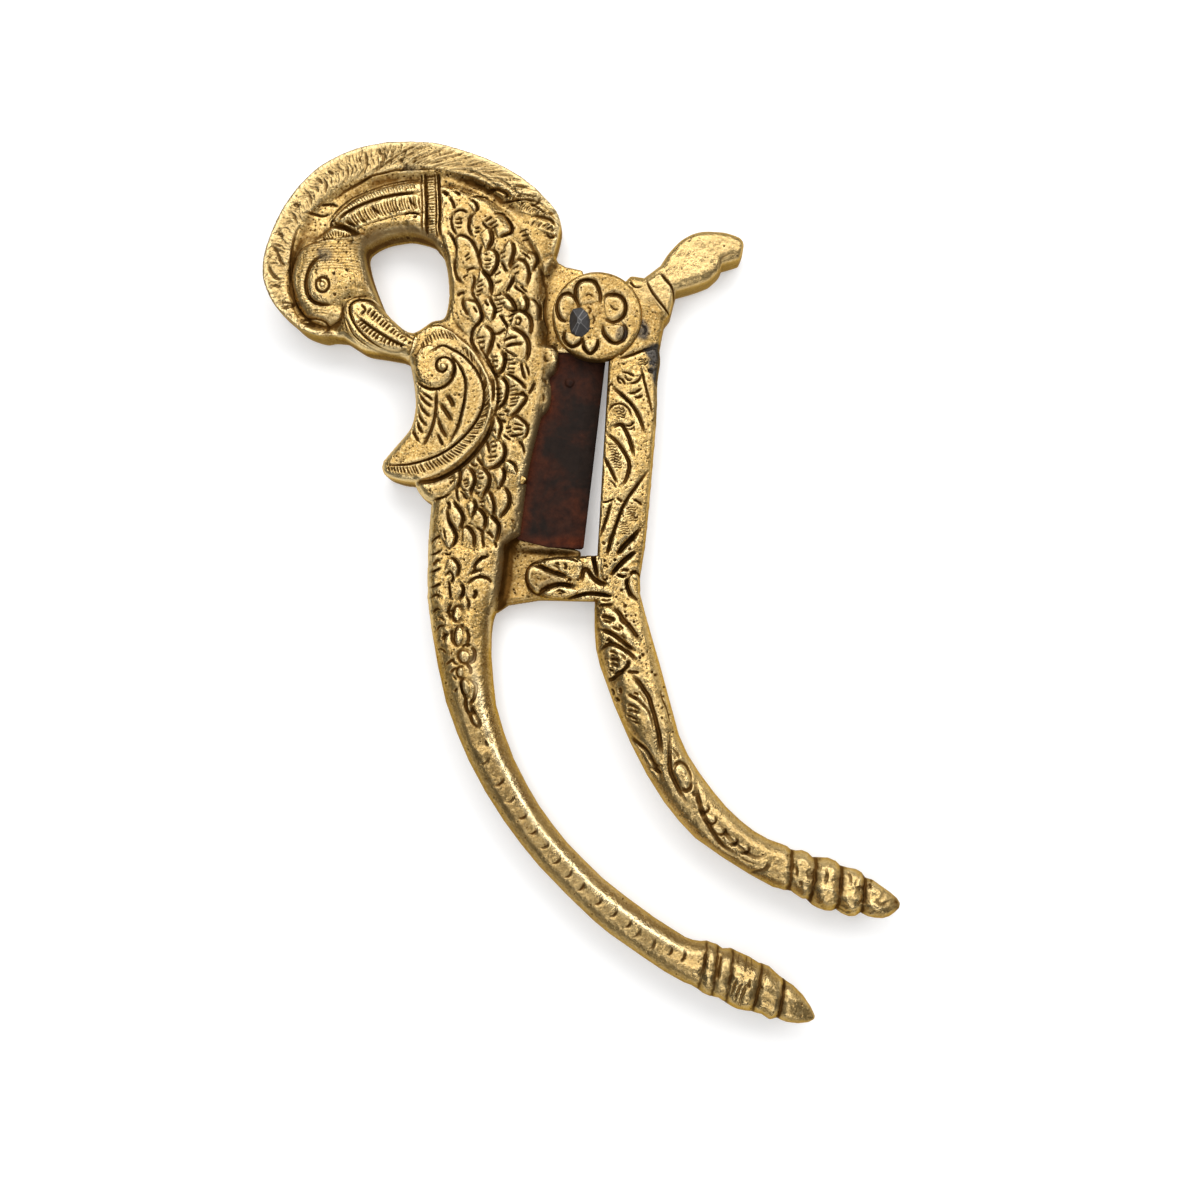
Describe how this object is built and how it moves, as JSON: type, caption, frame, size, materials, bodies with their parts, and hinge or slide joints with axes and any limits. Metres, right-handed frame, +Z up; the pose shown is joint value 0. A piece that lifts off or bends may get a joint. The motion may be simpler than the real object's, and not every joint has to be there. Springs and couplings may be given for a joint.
{
  "type": "betel nut cutter",
  "caption": "Hand cutter of two hinged cast brass arms, one a crested bird holding an iron blade, the other a straight engraved anvil bar with a hooked tail.",
  "frame": {"origin": "on the rest plane, below the middle of the whole cutter", "axes": "+Z up out of the decorated front, +Y along the blade from the handles towards the bird's crest, +X from the bird towards the anvil arm"},
  "size_m": [0.1272, 0.1766, 0.0108],
  "materials": {
    "cast_brass": "worn cast brass with dark patina in the recesses",
    "blade_iron": "dark rust-brown forged iron",
    "rivet_iron": "dark hammered iron"
  },
  "bodies": {
    "bird_half": {"bird_arm": "cast_brass", "cutting_blade": "blade_iron", "blade_rivets": "rivet_iron"},
    "anvil_half": {"anvil_arm": "cast_brass", "pivot_rivet": "rivet_iron", "rivet_washer": "rivet_iron"}
  },
  "joints": [
    {"name": "cutter_hinge", "type": "hinge", "parent": "bird_half", "child": "anvil_half", "pos_m": [0.00077, 0.05026, 0.0047], "axis": [0, 0, 1], "range_deg": [-3.5, 36]}
  ]
}
